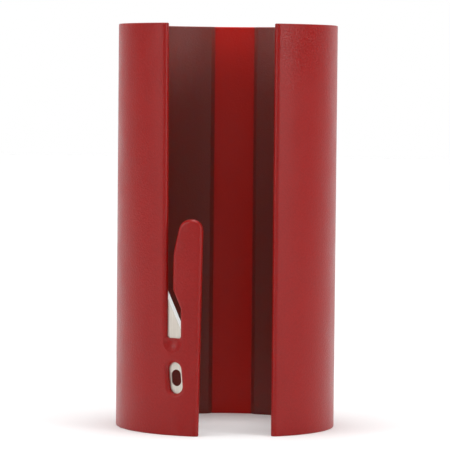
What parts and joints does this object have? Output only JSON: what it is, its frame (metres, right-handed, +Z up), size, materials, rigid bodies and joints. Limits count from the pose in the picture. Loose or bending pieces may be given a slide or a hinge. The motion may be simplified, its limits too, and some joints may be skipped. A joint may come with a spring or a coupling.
{
  "type": "gift wrap roll cutter",
  "caption": "C-shaped plastic sleeve that slips round a roll of wrapping paper and slits the sheet with a small guarded steel blade beside its tongue.",
  "frame": {"origin": "on the sleeve's axis, in the plane of its lower rim, within half a millimetre of the middle of its box", "axes": "+Z up the sleeve's axis to its upper rim, -Y out through the opening, +X towards the plain side"},
  "size_m": [0.0796, 0.0789, 0.146],
  "materials": {
    "moulded_red_plastic": "satin",
    "thin_red_plastic": "satin",
    "blade_steel": "ground"
  },
  "bodies": {
    "blade_side": {"blade_side_shell": "moulded_red_plastic", "flex_web": "thin_red_plastic", "blade": "blade_steel"},
    "plain_side": {"plain_side_shell": "moulded_red_plastic"}
  },
  "joints": [
    {"name": "jaw_spread", "type": "hinge", "parent": "blade_side", "child": "plain_side", "pos_m": [0, 0.0398, 0.073], "axis": [0, 0, 1], "range_deg": [-4, 12], "stiffness_Nm_per_rad": 1.8, "deforming": ["flex_web"]}
  ]
}
